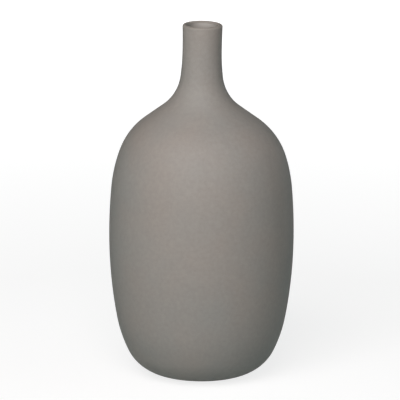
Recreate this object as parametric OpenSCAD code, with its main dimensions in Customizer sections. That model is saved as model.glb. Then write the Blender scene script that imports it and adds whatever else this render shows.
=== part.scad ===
// Bottle vase in matt stoneware: egg-shaped belly, steep shoulder, slender neck and rounded lip.
// Origin at the centre of the base, on the surface that it stands on. +Z is up. Millimetres.
// The side is one chain of curves from the foot to the lip, so the height follows from them.

/* [Belly] */
// Largest diameter, round the belly
belly_d = 108.7; // [92:0.1:126]
// Radius of the long curve above the widest place, as seen from the side
upper_long_r = 320; // [260:1:400]
// How far the long upper curve turns, in degrees
upper_long_turn = 5; // [3:0.1:7]
// Radius of the long curve below the widest place
lower_long_r = 272; // [220:1:320]
// How far the long lower curve turns, in degrees
lower_long_turn = 10.5; // [8.5:0.1:12.5]

/* [Tuck to the foot] */
// Radius of the middle curve, where the side starts to tuck in
lower_mid_r = 80; // [66:1:94]
// How far the side has turned in at the end of the middle curve, in degrees
lower_mid_turn = 25.6; // [21:0.1:30]
// Radius of the last curve, round to the foot
tuck_r = 25.38; // [21:0.01:30]
// How far the coat's edge at the foot lies inside the belly
foot_in = 26.35; // [21.5:0.05:31]

/* [Shoulder] */
// Radius of the middle curve between belly and shoulder
upper_mid_r = 86; // [70:1:102]
// How far the side has turned at the end of the middle curve, in degrees
upper_mid_turn = 19; // [15.5:0.1:22.5]
// Radius of the shoulder itself
shoulder_r = 41.4; // [34:0.1:49]
// How far the shoulder turns in, in degrees, which is also the slope of the cone above it
shoulder_turn = 53.6; // [44:0.1:60]

/* [Neck] */
// Diameter of the bore, which takes the stems
bore_d = 18.4; // [15:0.1:21]
// Wall of the neck at its narrowest, with its coat and glaze
neck_wall = 2.3; // [1.8:0.05:3.2]
// Radius of the hollow curve that turns the cone up into the neck
collar_r = 26.2; // [21:0.1:31]
// Turn that is left for the slow curve above it, in degrees
collar_turn_left = 6.9; // [5:0.1:9]
// Radius of the slow curve that brings the neck upright
neck_curve_r = 129; // [100:1:155]
// Height of the upright neck, up to the rounding of the lip
neck_len = 14.32; // [6:0.01:40]
// How far the neck flares out on the way to the lip
lip_flare = 0.24; // [0:0.01:0.6]

/* [Wall] */
// Wall of the body with its coat and glaze
wall_t = 3.6; // [2.8:0.1:4.6]
// Floor above the recess, with its glaze
floor_t = 3.5; // [2.8:0.1:5]
// Matt coat on the outside
coat_t = 0.4; // [0.2:0.05:0.6]
// Glaze on the inside
glaze_t = 0.4; // [0.2:0.05:0.6]

/* [Foot] */
// Bare clay left between the foot ring's face and the coat's edge, in height
bare_h = 0.6; // [0.3:0.1:1]
// Bare clay left between the ring's face and the coat's edge, seen from below
bare_w = 3; // [2:0.1:5]
// Width of the foot ring's face
ring_w = 10; // [8:0.5:12]
// Depth of the recess inside the ring
recess_h = 2; // [1.6:0.1:3]
// Rounding where the ring's face turns up into the recess
ring_edge_r = 0.7; // [0.4:0.1:0.8]

/* [Pads] */
// Diameter of a pad
pad_d = 6; // [4:0.1:7.5]
// Thickness of a pad, which lifts the ring off the shelf
pad_t = 1; // [0.6:0.1:1.5]
// Rounding of a pad's lower edge
pad_edge_r = 0.25; // [0.1:0.05:0.4]
// Bearing of the first pad, in degrees from +X
pad_bearing = 45; // [0:5:90]

/* [Hidden] */
$fn = 120;
// Segments in a full turn of the lip and of other small roundings
small_fn = 48;
// Segments in a full turn of a slow curve, whose chords would be long otherwise
slow_fn = 300;
// Steps along the neck's slight flare
flare_steps = 6;
// Two outline points closer than this are one
least_gap = 0.0001;

// Heights of the foot, the recess and the floor
ring_z = pad_t;
coat_edge_z = ring_z + bare_h;
recess_z = ring_z + recess_h;
floor_z = recess_z + floor_t;
// Radii of the foot
coat_edge_r = belly_d / 2 - foot_in;
ring_out_r = coat_edge_r - bare_w;
ring_in_r = ring_out_r - ring_w;
// The pads sit on the middle of the ring
pad_ring_r = (ring_out_r + ring_in_r) / 2;
// Radii of the neck. The lip is a half circle over the whole wall.
bore_r = bore_d / 2;
neck_out_r = bore_r + neck_wall;
lip_out_r = neck_out_r + lip_flare;
lip_r = (lip_out_r - bore_r) / 2;
lip_mid_r = bore_r + lip_r;

// A point at distance d and angle a from c
function polar(c, d, a) = c + d * [cos(a), sin(a)];

// Points of an arc about c from angle a0 to a1, both ends included
function arc(c, r, a0, a1, turns) =
    let (n = max(2, ceil(abs(a1 - a0) * turns / 360)))
    [for (i = [0 : n]) polar(c, r, a0 + (a1 - a0) * i / n)];

// The same outline without points that fall on their neighbour
function tidy(pts) =
    [for (i = [0 : len(pts) - 1]) if (norm(pts[i] - pts[(i + 1) % len(pts)]) > least_gap) pts[i]];

function flip(pts) = [for (i = [len(pts) - 1 : -1 : 0]) pts[i]];

// Drop of each curve below the belly, and how far in it comes
long_in = lower_long_r * (1 - cos(lower_long_turn));
long_drop = lower_long_r * sin(lower_long_turn);
mid_in = lower_mid_r * (cos(lower_long_turn) - cos(lower_mid_turn));
mid_drop = lower_mid_r * (sin(lower_mid_turn) - sin(lower_long_turn));
// The last curve turns until it has come in to the coat's edge
tuck_turn = acos(cos(lower_mid_turn) - (foot_in - long_in - mid_in) / tuck_r);
tuck_drop = tuck_r * (sin(tuck_turn) - sin(lower_mid_turn));
// Height of the widest place
belly_z = coat_edge_z + tuck_drop + mid_drop + long_drop;

// Centres of the body's curves. Each starts in the direction in which the last one ends, so the
// side has no kink, and a surface inside the wall has the same centres and smaller radii.
lower_long_c = [belly_d / 2 - lower_long_r, belly_z];
lower_mid_c = polar(lower_long_c, lower_long_r - lower_mid_r, -lower_long_turn);
tuck_c = polar(lower_mid_c, lower_mid_r - tuck_r, -lower_mid_turn);
upper_long_c = [belly_d / 2 - upper_long_r, belly_z];
upper_mid_c = polar(upper_long_c, upper_long_r - upper_mid_r, upper_long_turn);
shoulder_c = polar(upper_mid_c, upper_mid_r - shoulder_r, upper_mid_turn);

// Length of the cone between the shoulder and a neck of radius end_r, at depth inset
function cone_len(end_r, inset) =
    let (start_r = shoulder_c[0] + (shoulder_r - inset) * cos(shoulder_turn))
    let (collar_run = (collar_r + inset) * (cos(collar_turn_left) - cos(shoulder_turn)))
    let (slow_run = (neck_curve_r + inset) * (1 - cos(collar_turn_left)))
    (start_r - end_r - collar_run - slow_run) / sin(shoulder_turn);

// Side of the body from the belly up to where the neck of radius end_r is upright
function upper_side(end_r, inset) =
    let (cone_start = polar(shoulder_c, shoulder_r - inset, shoulder_turn))
    let (cone_end = polar(cone_start, cone_len(end_r, inset), shoulder_turn + 90))
    let (collar_c = polar(cone_end, collar_r + inset, shoulder_turn))
    let (slow_c = polar(collar_c, neck_curve_r - collar_r, collar_turn_left))
    concat(
        arc(upper_long_c, upper_long_r - inset, 0, upper_long_turn, slow_fn),
        arc(upper_mid_c, upper_mid_r - inset, upper_long_turn, upper_mid_turn, $fn),
        arc(shoulder_c, shoulder_r - inset, upper_mid_turn, shoulder_turn, $fn),
        arc(collar_c, -collar_r - inset, shoulder_turn, collar_turn_left, $fn),
        arc(slow_c, -neck_curve_r - inset, collar_turn_left, 0, slow_fn));

// Side of the body from the belly down to the end of the middle curve
function lower_side(inset) = concat(
    arc(lower_long_c, lower_long_r - inset, 0, -lower_long_turn, slow_fn),
    arc(lower_mid_c, lower_mid_r - inset, -lower_long_turn, -lower_mid_turn, $fn));

// Where the rounding of the lip starts
neck_side = upper_side(neck_out_r, 0);
waist_z = neck_side[len(neck_side) - 1][1];
lip_z = waist_z + neck_len;
total_h = lip_z + lip_r;

// Neck from its narrowest place to the lip, with its slight flare
function flare(start, end_r) =
    [for (i = [1 : flare_steps])
        let (f = i / flare_steps)
        [start[0] + (end_r - start[0]) * f * f, start[1] + (lip_z - start[1]) * f]];

// Whole outside from the coat's edge to the inside of the lip, at depth inset
function outside(inset) =
    let (up = upper_side(neck_out_r - inset, inset))
    concat(
        arc(tuck_c, tuck_r - inset, -tuck_turn, -lower_mid_turn, $fn),
        flip(lower_side(inset)),
        up,
        flare(up[len(up) - 1], lip_out_r - inset),
        arc([lip_mid_r, lip_z], lip_r - inset, 0, 180, small_fn));

// Whole inside from the lip down to the middle of the floor, lift above the glaze's surface
function inside(lift) =
    let (inset = wall_t - lift)
    let (low_end = polar(lower_mid_c, lower_mid_r - inset, -lower_mid_turn))
    let (corner_r = (low_end[1] - floor_z + lift) / (1 - sin(lower_mid_turn)))
    let (corner_c = polar(low_end, -corner_r, -lower_mid_turn))
    concat(
        [[bore_r + lift, lip_z]],
        flip(upper_side(bore_r + lift, inset)),
        lower_side(inset),
        arc(corner_c, corner_r, -lower_mid_turn, -90, $fn),
        [[0, floor_z - lift]]);

// Fired clay: wall, floor, foot ring and recess. Bare where the coat stops at the foot.
module clay_body() {
    underside = concat(
        [[0, recess_z]],
        arc([ring_in_r - ring_edge_r, recess_z - ring_edge_r], ring_edge_r, 90, 0, small_fn),
        arc([ring_in_r + ring_edge_r, ring_z + ring_edge_r], ring_edge_r, 180, 270, small_fn),
        [[ring_out_r, ring_z]]);
    color([0.60, 0.55, 0.49])
        rotate_extrude()
            polygon(tidy(concat(underside, outside(coat_t), inside(glaze_t))));
}

// Matt coat: from the bare foot over the whole outside and over the lip into the bore.
module matt_coat() {
    color([0.62, 0.59, 0.57])
        rotate_extrude()
            polygon(tidy(concat(outside(0), flip(outside(coat_t)))));
}

// Glaze that makes the vase hold water: bore, belly and floor, up to the coat in the mouth.
module glaze_lining() {
    color([0.68, 0.65, 0.61])
        rotate_extrude()
            polygon(tidy(concat(inside(0), flip(inside(glaze_t)))));
}

// One of four soft pads under the foot ring, counted round from the first.
module foot_pad(count) {
    color([0.85, 0.84, 0.80])
        rotate([0, 0, pad_bearing + 90 * (count - 1)])
            translate([pad_ring_r, 0, 0])
                rotate_extrude($fn = small_fn)
                    polygon(concat(
                        [[0, 0]],
                        arc([pad_d / 2 - pad_edge_r, pad_edge_r], pad_edge_r, -90, 0, small_fn),
                        [[pad_d / 2, pad_t], [0, pad_t]]));
}

clay_body();
matt_coat();
glaze_lining();
foot_pad(1);  // foot_pad_1
foot_pad(2);  // foot_pad_2
foot_pad(3);  // foot_pad_3
foot_pad(4);  // foot_pad_4
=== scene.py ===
import math

import bmesh
import bpy
from mathutils import Matrix, Vector


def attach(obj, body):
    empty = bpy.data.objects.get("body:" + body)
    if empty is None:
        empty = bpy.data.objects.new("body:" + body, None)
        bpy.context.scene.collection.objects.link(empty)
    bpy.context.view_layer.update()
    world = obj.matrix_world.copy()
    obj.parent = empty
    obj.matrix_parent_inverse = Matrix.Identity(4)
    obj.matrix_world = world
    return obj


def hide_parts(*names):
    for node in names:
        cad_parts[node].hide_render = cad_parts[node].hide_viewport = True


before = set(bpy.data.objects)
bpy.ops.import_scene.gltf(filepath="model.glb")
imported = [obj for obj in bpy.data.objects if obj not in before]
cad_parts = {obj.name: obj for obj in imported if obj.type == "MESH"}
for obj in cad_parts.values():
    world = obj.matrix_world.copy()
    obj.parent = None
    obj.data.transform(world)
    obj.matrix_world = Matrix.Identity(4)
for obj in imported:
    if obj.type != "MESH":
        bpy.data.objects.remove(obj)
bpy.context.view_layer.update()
print("frame loaded")

mm = 0.001  # settings are in millimetres and degrees, those of the lamps and the floor in metres

# the side of the vase as a potter's template would have it: curves that run into each other
side = {
    "height": 210,
    "bellyDiameter": 108.7,
    "bellyHeight": 84.403,
    "lowerLong": {"radius": 272, "turn": 10.5},
    "lowerMid": {"radius": 80, "turn": 25.6},
    "upperLong": {"radius": 320, "turn": 5},
    "upperMid": {"radius": 86, "turn": 19},
    "shoulder": {"radius": 41.4, "turn": 53.6},
    "collar": {"radius": 26.2, "turnLeft": 6.9},
    "neckCurve": {"radius": 129},
    "neckDiameter": 23,
    "lipDiameter": 23.48,
    "boreDiameter": 18.4,
    "coatEdgeDiameter": 56,
    "coatEdgeHeight": 1.6,
    "wall": 3.6,
    "coat": 0.4,
    "glaze": 0.4,
    "floorHeight": 6.5,
}

# how finely the outlines and the pieces are divided
fineness = {
    "longestStep": 1.7,  # along a curve
    "widestTurn": 4,  # in one step of a curve
    "fewestSteps": 3,
    "flareSteps": 8,
    "lipSteps": 18,
    "boreSteps": 8,
    "floorSteps": 10,
    "stepsAround": 128,
    "stepsAroundPad": 64,
    "weld": 0.002,
    "sharpAngle": 38,
}


# outlines: the last point is spun about each curve's centre, then the whole outline about the axis

def polar(centre, distance, degrees):
    angle = math.radians(degrees)
    return (centre[0] + distance * math.cos(angle), centre[1] + distance * math.sin(angle))


def startAt(bm, point):
    return bm.verts.new((point[0] * mm, 0, point[1] * mm))


def turnAbout(bm, tip, centre, degrees, steps=0):
    pivot = Vector((centre[0] * mm, 0, centre[1] * mm))
    length = (tip.co - pivot).length / mm * math.radians(abs(degrees))
    steps = steps or max(fineness["fewestSteps"], math.ceil(length / fineness["longestStep"]),
                         math.ceil(abs(degrees) / fineness["widestTurn"]))
    made = bmesh.ops.spin(bm, geom=[tip], cent=pivot, axis=(0, -1, 0),
                          angle=math.radians(degrees), steps=steps)
    return [g for g in made["geom_last"] if isinstance(g, bmesh.types.BMVert)][0]


def runTo(bm, tip, point, steps=1):
    start = tip.co.copy()
    end = Vector((point[0] * mm, 0, point[1] * mm))
    for i in range(steps):
        tip = bmesh.ops.extrude_vert_indiv(bm, verts=[tip])["verts"][0]
        tip.co = start.lerp(end, (i + 1) / steps)
    return tip


# centres of the side's curves, each on the line through the last one's end
lowerLongC = (side["bellyDiameter"] / 2 - side["lowerLong"]["radius"], side["bellyHeight"])
lowerMidC = polar(lowerLongC, side["lowerLong"]["radius"] - side["lowerMid"]["radius"],
                  -side["lowerLong"]["turn"])
upperLongC = (side["bellyDiameter"] / 2 - side["upperLong"]["radius"], side["bellyHeight"])
upperMidC = polar(upperLongC, side["upperLong"]["radius"] - side["upperMid"]["radius"],
                  side["upperLong"]["turn"])
shoulderC = polar(upperMidC, side["upperMid"]["radius"] - side["shoulder"]["radius"],
                  side["upperMid"]["turn"])

# the last curve below leaves the middle one in its direction and ends at the coat's edge
tuckStart = Vector(polar(lowerMidC, side["lowerMid"]["radius"], -side["lowerMid"]["turn"]))
tuckChord = Vector((side["coatEdgeDiameter"] / 2, side["coatEdgeHeight"])) - tuckStart
tuckInward = Vector(polar((0, 0), -1, -side["lowerMid"]["turn"]))
tuckRadius = tuckChord.length_squared / (2 * tuckChord.dot(tuckInward))
tuckC = tuple(tuckStart + tuckInward * tuckRadius)
tuckTurn = math.degrees(math.atan2(tuckC[1] - side["coatEdgeHeight"],
                                   side["coatEdgeDiameter"] / 2 - tuckC[0]))

# the lip is a half circle over the whole wall
lipRadius = (side["lipDiameter"] - side["boreDiameter"]) / 4
lipHeight = side["height"] - lipRadius
lipC = ((side["lipDiameter"] + side["boreDiameter"]) / 4, lipHeight)


def upTheSide(bm, tip, neckRadius, inset):
    # from the lower end of the middle curve below the belly to where the neck stands upright
    tip = turnAbout(bm, tip, lowerMidC, side["lowerMid"]["turn"] - side["lowerLong"]["turn"])
    tip = turnAbout(bm, tip, lowerLongC, side["lowerLong"]["turn"])
    tip = turnAbout(bm, tip, upperLongC, side["upperLong"]["turn"])
    tip = turnAbout(bm, tip, upperMidC, side["upperMid"]["turn"] - side["upperLong"]["turn"])
    tip = turnAbout(bm, tip, shoulderC, side["shoulder"]["turn"] - side["upperMid"]["turn"])
    # the cone is as long as it has to be for the two hollow curves to end at the neck's radius
    slope = math.radians(side["shoulder"]["turn"])
    left = math.radians(side["collar"]["turnLeft"])
    collarRadius = side["collar"]["radius"] + inset
    neckCurve = side["neckCurve"]["radius"] + inset
    drawnIn = collarRadius * (math.cos(left) - math.cos(slope)) + neckCurve * (1 - math.cos(left))
    coneLength = (tip.co.x / mm - neckRadius - drawnIn) / math.sin(slope)
    coneEnd = polar((tip.co.x / mm, tip.co.z / mm), coneLength, side["shoulder"]["turn"] + 90)
    tip = runTo(bm, tip, coneEnd, math.ceil(coneLength / fineness["longestStep"]))
    collarC = polar(coneEnd, collarRadius, side["shoulder"]["turn"])
    tip = turnAbout(bm, tip, collarC, side["collar"]["turnLeft"] - side["shoulder"]["turn"])
    neckC = polar(collarC, neckCurve - collarRadius, side["collar"]["turnLeft"])
    return turnAbout(bm, tip, neckC, -side["collar"]["turnLeft"])


def outsideOutline(bm, inset):
    # the whole outside, inset under the coat's surface: returns its lower and its upper end
    start = startAt(bm, polar(tuckC, tuckRadius - inset, -tuckTurn))
    tip = turnAbout(bm, start, tuckC, tuckTurn - side["lowerMid"]["turn"])
    tip = upTheSide(bm, tip, side["neckDiameter"] / 2 - inset, inset)
    # the neck flares a little up to the lip
    waist, flareSteps = tip.co.copy(), fineness["flareSteps"]
    for i in range(1, flareSteps + 1):
        f = i / flareSteps
        radius = waist.x / mm + (side["lipDiameter"] / 2 - inset - waist.x / mm) * f * f
        tip = runTo(bm, tip, (radius, waist.z / mm + (lipHeight - waist.z / mm) * f))
    return start, turnAbout(bm, tip, lipC, 180, fineness["lipSteps"])


def insideOutline(bm, lift):
    # the whole inside, from the axis, lift under the glaze's surface: returns its upper end
    inset = side["wall"] - lift
    lowEnd = polar(lowerMidC, side["lowerMid"]["radius"] - inset, -side["lowerMid"]["turn"])
    leftToTurn = 90 - side["lowerMid"]["turn"]
    floorLevel = side["floorHeight"] - lift
    cornerRadius = (lowEnd[1] - floorLevel) / (1 - math.cos(math.radians(leftToTurn)))
    cornerC = polar(lowEnd, -cornerRadius, -side["lowerMid"]["turn"])
    tip = startAt(bm, (0, floorLevel))
    tip = runTo(bm, tip, polar(cornerC, cornerRadius, -90), fineness["floorSteps"])
    tip = turnAbout(bm, tip, cornerC, leftToTurn)
    boreRadius = side["boreDiameter"] / 2 + lift
    tip = upTheSide(bm, tip, boreRadius, inset)
    return runTo(bm, tip, (boreRadius, lipHeight), fineness["boreSteps"])


def spinRound(bm, steps):
    bmesh.ops.spin(bm, geom=bm.verts[:] + bm.edges[:], cent=(0, 0, 0), axis=(0, 0, 1),
                   angle=math.tau, steps=steps, use_merge=True)
    bmesh.ops.remove_doubles(bm, verts=bm.verts[:], dist=fineness["weld"] * mm)
    bmesh.ops.recalc_face_normals(bm, faces=bm.faces[:])


def finishPiece(bm, name):
    mesh = bpy.data.meshes.new(name)
    bm.to_mesh(mesh)
    bm.free()
    mesh.shade_smooth()
    mesh.set_sharp_from_angle(angle=math.radians(fineness["sharpAngle"]))
    piece = bpy.data.objects.new(name, mesh)
    bpy.context.scene.collection.objects.link(piece)
    print("made", name, len(mesh.polygons), "faces")
    return piece


lean = {
    "degrees": 0.74,  # a cast neck is seldom quite upright
    "from": 130,
    "to": 168,
    "pivotHeight": 199,
}


def leanNeck(bm):
    # turns each level a little about the pivot and keeps the highest point of the lip where it was
    pivot, crest = lean["pivotHeight"] * mm, lipC[0] * mm
    for v in bm.verts:
        f = min(max((v.co.z / mm - lean["from"]) / (lean["to"] - lean["from"]), 0), 1)
        turn = math.radians(lean["degrees"]) * f * f * (3 - 2 * f)
        v.co.x, v.co.z = v.co.x + turn * (v.co.z - pivot), v.co.z - turn * (v.co.x + crest)


def spinPiece(bm, name):
    spinRound(bm, fineness["stepsAround"])
    leanNeck(bm)
    return finishPiece(bm, name)


# materials: effects that several finishes share are groups, the shaders stay in the materials

def give(tree, socket, value):
    # a socket is linked, a plain value is set
    if isinstance(value, bpy.types.NodeSocket):
        tree.links.new(value, socket)
    else:
        socket.default_value = value


def addNode(tree, kind, settings, inputs):
    # settings are the node's own, inputs go to its sockets by name or by number
    node = tree.nodes.new(kind)
    for key, value in settings.items():
        setattr(node, key, value)
    for key, value in inputs.items():
        give(tree, node.inputs[key], value)
    return node


def calculate(tree, operation, *terms, clamp=False):
    settings = {"operation": operation, "use_clamp": clamp}
    return addNode(tree, "ShaderNodeMath", settings, dict(enumerate(terms))).outputs[0]


def spread(tree, value, low, high, outLow, outHigh, curve="LINEAR"):
    # low to high becomes outLow to outHigh, and stays at its ends beyond them
    return addNode(tree, "ShaderNodeMapRange", {"interpolation_type": curve},
                   {"Value": value, "From Min": low, "From Max": high,
                    "To Min": outLow, "To Max": outHigh}).outputs[0]


def mixColours(tree, mask, first, second):
    # 6 and 7 are the Mix node's colour inputs, and output 2 is its colour
    first, second = [colour if isinstance(colour, bpy.types.NodeSocket) else (*colour, 1)
                     for colour in (first, second)]
    return addNode(tree, "ShaderNodeMix", {"data_type": "RGBA"},
                   {"Factor": mask, 6: first, 7: second}).outputs[2]


def shadeColour(tree, colour, brightness):
    return addNode(tree, "ShaderNodeMix", {"data_type": "RGBA", "blend_type": "MULTIPLY"},
                   {"Factor": 1.0, 6: colour, 7: brightness}).outputs[2]


def addBump(tree, height, depth, under=None):
    inputs = {"Height": height, "Strength": 1.0, "Distance": depth * mm}
    if under:
        inputs["Normal"] = under
    return addNode(tree, "ShaderNodeBump", {}, inputs).outputs["Normal"]


def newGroup(name, numbers, output):
    # a group takes the object's coordinates and a few numbers, and puts out one mask or height
    group = bpy.data.node_groups.new(name, "ShaderNodeTree")
    group.interface.new_socket(name="Vector", in_out="INPUT", socket_type="NodeSocketVector")
    for label, value in numbers.items():
        number = group.interface.new_socket(name=label, in_out="INPUT",
                                            socket_type="NodeSocketFloat")
        number.default_value = value
    group.interface.new_socket(name=output, in_out="OUTPUT", socket_type="NodeSocketFloat")
    given = group.nodes.new("NodeGroupInput").outputs
    result = group.nodes.new("NodeGroupOutput").inputs[output]
    return group, given, result


def addGroup(tree, group, where, numbers):
    return addNode(tree, "ShaderNodeGroup", {"node_tree": group},
                   {"Vector": where, **numbers}).outputs[0]


def buildCloudGroup():
    # broad soft patches, from 0 to 1
    group, given, result = newGroup("cloudyPatches", {"Patches per metre": 40.0, "Contrast": 1.0},
                                    "Mask")
    cloud = addNode(group, "ShaderNodeTexNoise", {},
                    {"Vector": given["Vector"], "Scale": given["Patches per metre"],
                     "Detail": 3.0, "Roughness": 0.45})
    centred = calculate(group, "SUBTRACT", cloud.outputs["Fac"], 0.5)
    give(group, result,
         calculate(group, "MULTIPLY_ADD", centred, given["Contrast"], 0.5, clamp=True))
    return group


def buildToothGroup():
    # the fine tooth of a sprayed slip or of bare clay, as a height: grains with wider lumps
    lumpsPerGrain = 0.17
    group, given, result = newGroup("fineTooth", {"Grains per metre": 2000.0, "Lumps": 0.3},
                                    "Height")
    grains = addNode(group, "ShaderNodeTexNoise", {},
                     {"Vector": given["Vector"], "Scale": given["Grains per metre"],
                      "Detail": 2.0, "Roughness": 0.6})
    lumpsPerMetre = calculate(group, "MULTIPLY", given["Grains per metre"], lumpsPerGrain)
    lumps = addNode(group, "ShaderNodeTexNoise", {},
                    {"Vector": given["Vector"], "Scale": lumpsPerMetre,
                     "Detail": 1.0, "Roughness": 0.5})
    give(group, result, calculate(group, "MULTIPLY_ADD", lumps.outputs["Fac"], given["Lumps"],
                                  grains.outputs["Fac"]))
    return group


def buildSpeckGroup():
    # scattered specks of iron or grog, 1 inside a speck: a share of the cells has one each
    group, given, result = newGroup("claySpecks",
                                    {"Cells per metre": 250.0, "Share": 0.2, "Radius": 0.2},
                                    "Mask")
    cells = addNode(group, "ShaderNodeTexVoronoi", {},
                    {"Vector": given["Vector"], "Scale": given["Cells per metre"],
                     "Randomness": 1.0})
    draw = addNode(group, "ShaderNodeSeparateColor", {}, {0: cells.outputs["Color"]}).outputs[0]
    chosen = calculate(group, "LESS_THAN", draw, given["Share"])
    speck = spread(group, cells.outputs["Distance"], 0, given["Radius"], 1, 0, "SMOOTHSTEP")
    give(group, result, calculate(group, "MULTIPLY", chosen, speck))
    return group


cloudyPatches = buildCloudGroup()
fineTooth = buildToothGroup()
claySpecks = buildSpeckGroup()


def newMaterial(name):
    # returns the material, its nodes, the shader's inputs and the object's coordinates
    material = bpy.data.materials.new(name)
    material.use_nodes = True
    tree = material.node_tree
    where = tree.nodes.new("ShaderNodeTexCoord").outputs["Object"]
    return material, tree, tree.nodes["Principled BSDF"].inputs, where


def splitPlace(tree, where):
    return addNode(tree, "ShaderNodeSeparateXYZ", {}, {0: where}).outputs


def addSpecks(tree, colour, where, specks):
    mask = addGroup(tree, claySpecks, where, specks["spacing"])
    return mixColours(tree, calculate(tree, "MULTIPLY", mask, specks["strength"]), colour,
                      specks["colour"])


# the matt coat

coat = {
    "warm": (0.374, 0.330, 0.299),
    "cool": (0.350, 0.332, 0.310),
    "patches": {"Patches per metre": 32, "Contrast": 2.2},
    "mottle": {"Patches per metre": 420, "Contrast": 1.4},
    "mottleShade": (0.97, 1.025),
    "tooth": {"Grains per metre": 2600, "Lumps": 0.8},
    "toothDepth": 0.04,
    "toothHeights": (0.65, 1.15),
    "toothShade": (0.945, 1.045),  # painted shade in its pits and painted light on its crests: how much darker and lighter they are
    "specks": {"spacing": {"Cells per metre": 260, "Share": 0.05, "Radius": 0.1},
               "colour": (0.17, 0.145, 0.125), "strength": 0.35},
    "thinAndShade": (0.318, 0.284, 0.252),  # where the clay shows through at the foot, and on the lip's crest a thin coat with painted shade that dulls its lit edge
    "thinAndShadeStrength": 0.8,
    "thinAndShadeAtLip": (1.3, 0.3),  # depths below the crest, where it begins and where it is full
    "thinAtFoot": (0.1, 1.1),  # heights above the coat's edge, where it is full and where it ends
    "raggedMottle": (0.2, 0.7),  # the mottle breaks the thin places up, where it is low
    "raggedStrength": (0.4, 1),
    "roughness": (0.60, 0.70),
    "specular": 0.5,
}


def coatMaterial():
    material, tree, shader, where = newMaterial("mattSlipCoat")
    patches = addGroup(tree, cloudyPatches, where, coat["patches"])
    colour = mixColours(tree, patches, coat["warm"], coat["cool"])
    mottle = addGroup(tree, cloudyPatches, where, coat["mottle"])
    colour = shadeColour(tree, colour, spread(tree, mottle, 0, 1, *coat["mottleShade"]))
    tooth = addGroup(tree, fineTooth, where, coat["tooth"])
    # the colour follows the tooth's height: painted shade in the pits, painted light on the crests
    toothShading = spread(tree, tooth, *coat["toothHeights"], *coat["toothShade"])
    colour = addSpecks(tree, shadeColour(tree, colour, toothShading), where, coat["specks"])
    # the coat runs out unevenly at the foot; on the crest of the lip it is thin, and the darker
    # colour there is also painted shade that dulls the crest where the light catches it
    height = splitPlace(tree, where)["Z"]
    begins, full = [(side["height"] - depth) * mm for depth in coat["thinAndShadeAtLip"]]
    # on the lip this darker colour is a thin coat and painted shade together
    lipThinAndShade = spread(tree, height, begins, full, 0, coat["thinAndShadeStrength"])
    full, ends = [(side["coatEdgeHeight"] + rise) * mm for rise in coat["thinAtFoot"]]
    atFoot = spread(tree, height, full, ends, coat["thinAndShadeStrength"], 0)
    ragged = spread(tree, mottle, *coat["raggedMottle"], *coat["raggedStrength"])
    thinAndShade = calculate(tree, "MULTIPLY", calculate(tree, "ADD", lipThinAndShade, atFoot, clamp=True), ragged)
    give(tree, shader["Base Color"], mixColours(tree, thinAndShade, colour, coat["thinAndShade"]))
    give(tree, shader["Roughness"], spread(tree, patches, 0, 1, *coat["roughness"]))
    give(tree, shader["Specular IOR Level"], coat["specular"])
    give(tree, shader["Normal"], addBump(tree, tooth, coat["toothDepth"]))
    return material


bm = bmesh.new()
outerLow, outerTop = outsideOutline(bm, 0)
innerLow, innerTop = outsideOutline(bm, side["coat"])
bm.edges.new((outerLow, innerLow))
bm.edges.new((outerTop, innerTop))
mattCoat = spinPiece(bm, "mattCoat")
mattCoat.data.materials.append(coatMaterial())
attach(mattCoat, "root")
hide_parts("matt_coat")


# the glaze inside

glaze = {
    "colour": (0.41, 0.385, 0.355),
    "pooled": (0.33, 0.30, 0.27),
    "pooledStrength": 0.8,
    "pooledTo": 12,  # height above the floor
    "patches": {"Patches per metre": 60, "Contrast": 1.6},
    "patchStrength": 0.3,
    "paintedLight": (0.60, 0.575, 0.55),  # painted light just inside the mouth, where the softbox falls on the wall
    "paintedLightDepths": (1.0, 4.2),  # below the crest, where it begins to fade and where it ends
    "paintedLightMiddle": 0.8,  # the painted light lies at the front and the back of the mouth, a little to the right, where the softbox falls
    "paintedLightAside": (2.5, 8.0),  # distances to left and right, where it begins to fade and ends
    "specks": {"spacing": {"Cells per metre": 300, "Share": 0.08, "Radius": 0.12},
               "colour": (0.14, 0.11, 0.09), "strength": 0.5},
    "roughness": (0.38, 0.55),
    "specular": 0.4,
    "ripples": {"Grains per metre": 160, "Lumps": 0.5},
    "rippleDepth": 0.12,
}


def glazeMaterial():
    material, tree, shader, where = newMaterial("insideGlaze")
    patches = addGroup(tree, cloudyPatches, where, glaze["patches"])
    place = splitPlace(tree, where)
    # it runs down and pools on the floor
    bottom, top = side["floorHeight"] * mm, (side["floorHeight"] + glaze["pooledTo"]) * mm
    pooled = spread(tree, place["Z"], bottom, top, glaze["pooledStrength"], 0)
    pooled = calculate(tree, "MULTIPLY_ADD", patches, glaze["patchStrength"], pooled, clamp=True)
    colour = mixColours(tree, pooled, glaze["colour"], glaze["pooled"])
    # painted light: a paler colour just under the crest and round the middle, where the softbox
    # falls into the mouth, fading deeper down and to the sides
    fades, ends = [(side["height"] - depth) * mm for depth in glaze["paintedLightDepths"]]
    nearCrest = spread(tree, place["Z"], ends, fades, 0, 1)
    aside = calculate(tree, "SUBTRACT", place["X"], glaze["paintedLightMiddle"] * mm)
    fades, ends = [distance * mm for distance in glaze["paintedLightAside"]]
    nearMiddle = spread(tree, calculate(tree, "ABSOLUTE", aside), fades, ends, 1, 0)
    dustAndPaintedLight = calculate(tree, "MULTIPLY", nearCrest, nearMiddle)
    colour = mixColours(tree, dustAndPaintedLight, colour, glaze["paintedLight"])
    give(tree, shader["Base Color"], addSpecks(tree, colour, where, glaze["specks"]))
    give(tree, shader["Roughness"], spread(tree, patches, 0, 1, *glaze["roughness"]))
    give(tree, shader["Specular IOR Level"], glaze["specular"])
    ripples = addGroup(tree, fineTooth, where, glaze["ripples"])
    give(tree, shader["Normal"], addBump(tree, ripples, glaze["rippleDepth"]))
    return material


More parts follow.
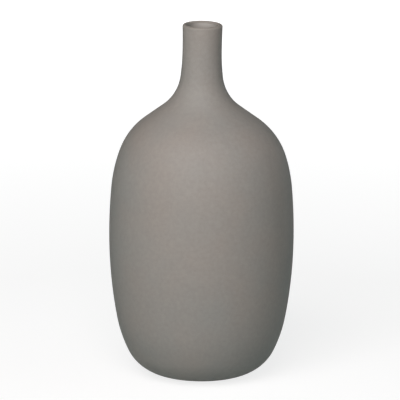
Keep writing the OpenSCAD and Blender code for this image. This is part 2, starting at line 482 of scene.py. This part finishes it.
bm = bmesh.new()
wetTop = insideOutline(bm, 0)
backTop = insideOutline(bm, side["glaze"])
bm.edges.new((wetTop, backTop))
glazeLining = spinPiece(bm, "glazeLining")
glazeLining.data.materials.append(glazeMaterial())
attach(glazeLining, "root")
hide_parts("glaze_lining")


# the clay body: only its foot ring and recess are bare

foot = {
    "ringDiameter": 50,
    "ringWidth": 10,
    "ringHeight": 1,
    "recessDepth": 2,
    "edgeRadius": 0.7,
    "edgeSteps": 8,
    "recessSteps": 6,
    "ringSteps": 5,
    "clay": (0.46, 0.385, 0.30),
    "clayDark": (0.36, 0.295, 0.225),
    "patches": {"Patches per metre": 90, "Contrast": 2.0},
    "grog": {"spacing": {"Cells per metre": 700, "Share": 0.2, "Radius": 0.2},
             "colour": (0.62, 0.55, 0.46), "strength": 0.7},
    "iron": {"spacing": {"Cells per metre": 420, "Share": 0.07, "Radius": 0.16},
             "colour": (0.12, 0.08, 0.055), "strength": 0.8},
    "roughness": (0.85, 0.95),
    "specular": 0.3,
    "tooth": {"Grains per metre": 1500, "Lumps": 1.0},
    "toothDepth": 0.05,
    "spongeRings": {"Scale": 900.0, "Detail": 2.0},  # Scale is in rings per metre
    "spongeDepth": 0.06,
}


def clayMaterial():
    material, tree, shader, where = newMaterial("bareStoneware")
    patches = addGroup(tree, cloudyPatches, where, foot["patches"])
    colour = mixColours(tree, patches, foot["clay"], foot["clayDark"])
    colour = addSpecks(tree, colour, where, foot["grog"])
    give(tree, shader["Base Color"], addSpecks(tree, colour, where, foot["iron"]))
    give(tree, shader["Roughness"], spread(tree, patches, 0, 1, *foot["roughness"]))
    give(tree, shader["Specular IOR Level"], foot["specular"])
    # the marks of the damp sponge run round the foot, under the tooth
    flat = addNode(tree, "ShaderNodeVectorMath", {"operation": "MULTIPLY"},
                   {0: where, 1: (1, 1, 0)}).outputs["Vector"]
    fromAxis = addNode(tree, "ShaderNodeVectorMath", {"operation": "LENGTH"},
                       {0: flat}).outputs["Value"]
    rings = addNode(tree, "ShaderNodeTexNoise", {"noise_dimensions": "1D"},
                    {"W": fromAxis, **foot["spongeRings"]})
    sponged = addBump(tree, rings.outputs["Fac"], foot["spongeDepth"])
    tooth = addGroup(tree, fineTooth, where, foot["tooth"])
    give(tree, shader["Normal"], addBump(tree, tooth, foot["toothDepth"], under=sponged))
    return material


bm = bmesh.new()
ringOuter, ringLevel = foot["ringDiameter"] / 2, foot["ringHeight"]
ringInner, recessLevel = ringOuter - foot["ringWidth"], foot["ringHeight"] + foot["recessDepth"]
edge = foot["edgeRadius"]
tip = startAt(bm, (0, recessLevel))
tip = runTo(bm, tip, (ringInner - edge, recessLevel), foot["recessSteps"])
tip = turnAbout(bm, tip, (ringInner - edge, recessLevel - edge), -90, foot["edgeSteps"])
tip = runTo(bm, tip, (ringInner, ringLevel + edge))
tip = turnAbout(bm, tip, (ringInner + edge, ringLevel + edge), 90, foot["edgeSteps"])
ringEnd = runTo(bm, tip, (ringOuter, ringLevel), foot["ringSteps"])
underCoat, underLip = outsideOutline(bm, side["coat"])
bm.edges.new((ringEnd, underCoat))
boreTop = insideOutline(bm, side["glaze"])
bm.edges.new((underLip, boreTop))
clayBody = spinPiece(bm, "clayBody")
clayBody.data.materials.append(clayMaterial())
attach(clayBody, "root")
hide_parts("clay_body")


# the four soft pads on the foot ring

pads = {
    "count": 4,
    "bearing": 45,
    "diameter": 6,
    "thickness": 1,
    "edgeRadius": 0.25,
    "edgeSteps": 6,
    "faceSteps": 4,
    "colour": (0.62, 0.60, 0.55),
    "dusty": (0.46, 0.43, 0.38),
    "dustAndPaintedLight": {"Patches per metre": 600, "Contrast": 2.0},
    "roughness": (0.45, 0.75),
    "glow": 0.15,  # how much light goes through the soft rubber
    "glowReach": (1.2, 1.1, 1.0),  # for red, green and blue, before the shader's own scale
    "tooth": {"Grains per metre": 2500, "Lumps": 0.4},
    "toothDepth": 0.02,
}


def padMaterial():
    material, tree, shader, where = newMaterial("softPad")
    dustAndPaintedLight = addGroup(tree, cloudyPatches, where, pads["dustAndPaintedLight"])
    give(tree, shader["Base Color"], mixColours(tree, dustAndPaintedLight, pads["colour"], pads["dusty"]))
    give(tree, shader["Roughness"], spread(tree, dustAndPaintedLight, 0, 1, *pads["roughness"]))
    give(tree, shader["Subsurface Weight"], pads["glow"])
    give(tree, shader["Subsurface Radius"], [reach * mm for reach in pads["glowReach"]])
    tooth = addGroup(tree, fineTooth, where, pads["tooth"])
    give(tree, shader["Normal"], addBump(tree, tooth, pads["toothDepth"]))
    return material


softPad = padMaterial()
padCircle = (foot["ringDiameter"] - foot["ringWidth"]) / 2
for number in range(1, pads["count"] + 1):
    bm = bmesh.new()
    radius, edge = pads["diameter"] / 2, pads["edgeRadius"]
    tip = startAt(bm, (0, 0))
    tip = runTo(bm, tip, (radius - edge, 0), pads["faceSteps"])
    tip = turnAbout(bm, tip, (radius - edge, edge), 90, pads["edgeSteps"])
    tip = runTo(bm, tip, (radius, pads["thickness"]))
    tip = runTo(bm, tip, (0, pads["thickness"]), pads["faceSteps"])
    spinRound(bm, fineness["stepsAroundPad"])
    bearing = pads["bearing"] + 360 / pads["count"] * (number - 1)
    place = Matrix.Rotation(math.radians(bearing), 4, "Z")
    place = place @ Matrix.Translation((padCircle * mm, 0, 0))
    bmesh.ops.transform(bm, matrix=place, verts=bm.verts[:])
    pad = finishPiece(bm, f"footPad{number}")
    pad.data.materials.append(softPad)
    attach(pad, "root")
    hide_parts(f"foot_pad_{number}")
print("pieces done")


# the studio: the lamps aim at the middle of the vase, and azimuths go from the front to the right

studio = {
    "lamps": {
        "softbox": {"azimuth": -15, "elevation": 40, "distance": 1.2, "size": 0.9, "power": 13.0,
                    "colour": (1.0, 0.941, 0.93)},
        "leftPanel": {"azimuth": -45, "elevation": 25, "distance": 1.7, "size": 1.2, "power": 1.3,
                      "colour": (0.6, 0.96, 1.0)},
        "rightPanel": {"azimuth": 90, "elevation": 42, "distance": 1.7, "size": 1.2, "power": 2.3,
                       "colour": (0.8, 0.95, 1.0)},
        "edgePanel": {"azimuth": 140, "elevation": 3, "distance": 1.2, "size": 0.3, "power": 0.6,
                      "colour": (1.0, 1.0, 1.0)},
        "rearPanel": {"azimuth": 180, "elevation": 3, "distance": 1.2, "size": 0.3, "power": 1.4,
                      "colour": (1.0, 0.97, 0.95)},
    },
    "surroundings": (0.014, 0.028, 0.026),
    "floorSize": 6,
    "floorColour": (0.46, 0.53, 0.53),
    "floorSeen": (0.3, 0.3, 0.3),  # grey of its own, on which the camera sees the shadow
    "floorSheenGlow": 0.24,  # a glow the floor gives to glossy rays alone: painted light that the coat's grazing sheen picks up
    "floorNear": {"distance": 0.25, "white": 0.80},
    "floorFar": {"distance": 0.9, "white": 1.0},
    "white": (1, 1, 1),
    "aimHeight": 104.46,
    "aimAside": -0.94,
    "cameraDistance": 3000,
    "cameraElevation": 13.42,
    "cameraRoll": 0.25,
    "lens": 459.1,
    "sensorWidth": 36,
    "clipEnd": 50,  # in metres
}


def addLamp(name, lamp):
    light = bpy.data.lights.new(name, "AREA")
    light.shape = "SQUARE"
    light.size = lamp["size"]
    light.energy = lamp["power"]
    light.color = lamp["colour"]
    azimuth, elevation = math.radians(lamp["azimuth"]), math.radians(lamp["elevation"])
    aim = Vector((0, 0, side["height"] / 2 * mm))
    away = Vector((math.sin(azimuth) * math.cos(elevation),
                   -math.cos(azimuth) * math.cos(elevation), math.sin(elevation)))
    holder = bpy.data.objects.new(name, light)
    holder.location = aim + away * lamp["distance"]
    holder.rotation_euler = away.to_track_quat("Z", "Y").to_euler()
    holder.visible_camera = False
    bpy.context.scene.collection.objects.link(holder)


def addGlow(tree, kind, strength):
    return addNode(tree, kind, {},
                   {"Color": (*studio["white"], 1), "Strength": strength}).outputs[0]


def addDiffuse(tree, colour):
    return addNode(tree, "ShaderNodeBsdfDiffuse", {}, {"Color": (*colour, 1)}).outputs[0]


def addShaders(tree, first, second):
    return addNode(tree, "ShaderNodeAddShader", {}, {0: first, 1: second}).outputs[0]


def chooseShader(tree, choice, ifNot, ifSo):
    return addNode(tree, "ShaderNodeMixShader", {}, {0: choice, 1: ifNot, 2: ifSo}).outputs[0]


def lightRoom():
    # the surroundings are dim, and the camera alone sees white behind the vase
    world = bpy.data.worlds.new("studioRoom")
    bpy.context.scene.world = world
    world.use_nodes = True
    tree = world.node_tree
    room = tree.nodes["Background"]
    give(tree, room.inputs["Color"], (*studio["surroundings"], 1))
    ray = tree.nodes.new("ShaderNodeLightPath").outputs
    seen = chooseShader(tree, ray["Is Camera Ray"], room.outputs[0],
                        addGlow(tree, "ShaderNodeBackground", 1.0))
    give(tree, tree.nodes["World Output"].inputs["Surface"], seen)


def paperMaterial():
    paper = bpy.data.materials.new("whitePaper")
    paper.use_nodes = True
    tree = paper.node_tree
    tree.nodes.remove(tree.nodes["Principled BSDF"])
    ray = tree.nodes.new("ShaderNodeLightPath").outputs
    # the camera sees a white that is full away from the foot, with the shadow in it
    where = tree.nodes.new("ShaderNodeTexCoord").outputs["Object"]
    away = addNode(tree, "ShaderNodeVectorMath", {"operation": "LENGTH"},
                   {0: where}).outputs["Value"]
    near, far = studio["floorNear"], studio["floorFar"]
    white = spread(tree, away, near["distance"], far["distance"], near["white"], far["white"])
    seen = addShaders(tree, addDiffuse(tree, studio["floorSeen"]),
                      addGlow(tree, "ShaderNodeEmission", white))
    # the vase gets its bounce from the paper's own colour, and its sheen a little painted glow
    # that glossy rays alone see
    surface = chooseShader(tree, ray["Is Camera Ray"], addDiffuse(tree, studio["floorColour"]),
                           seen)
    sheenGlow = calculate(tree, "MULTIPLY", ray["Is Glossy Ray"], studio["floorSheenGlow"])
    surface = addShaders(tree, surface, addGlow(tree, "ShaderNodeEmission", sheenGlow))
    # a camera under the floor looks through it, to the foot
    back = tree.nodes.new("ShaderNodeNewGeometry").outputs["Backfacing"]
    fromUnder = calculate(tree, "MULTIPLY", ray["Is Camera Ray"], back)
    clear = tree.nodes.new("ShaderNodeBsdfTransparent").outputs[0]
    surface = chooseShader(tree, fromUnder, surface, clear)
    give(tree, tree.nodes["Material Output"].inputs["Surface"], surface)
    return paper


for name, lamp in studio["lamps"].items():
    addLamp(name, lamp)
lightRoom()

bm = bmesh.new()
bmesh.ops.create_grid(bm, x_segments=1, y_segments=1, size=studio["floorSize"] / 2)
floor = finishPiece(bm, "paperFloor")
floor.data.materials.append(paperMaterial())

elevation = math.radians(studio["cameraElevation"])
aim = Vector((studio["aimAside"], 0, studio["aimHeight"])) * mm
away = Vector((0, -math.cos(elevation), math.sin(elevation)))
camera = bpy.data.objects.new("camera", bpy.data.cameras.new("camera"))
camera.data.lens = studio["lens"]
camera.data.sensor_width = studio["sensorWidth"]
camera.data.clip_end = studio["clipEnd"]
camera.location = aim + away * studio["cameraDistance"] * mm
roll = Matrix.Rotation(math.radians(studio["cameraRoll"]), 3, "Z")
camera.rotation_euler = (away.to_track_quat("Z", "Y").to_matrix() @ roll).to_euler()
bpy.context.scene.collection.objects.link(camera)
bpy.context.scene.camera = camera
bpy.context.scene.view_settings.view_transform = "Standard"
print("studio done")
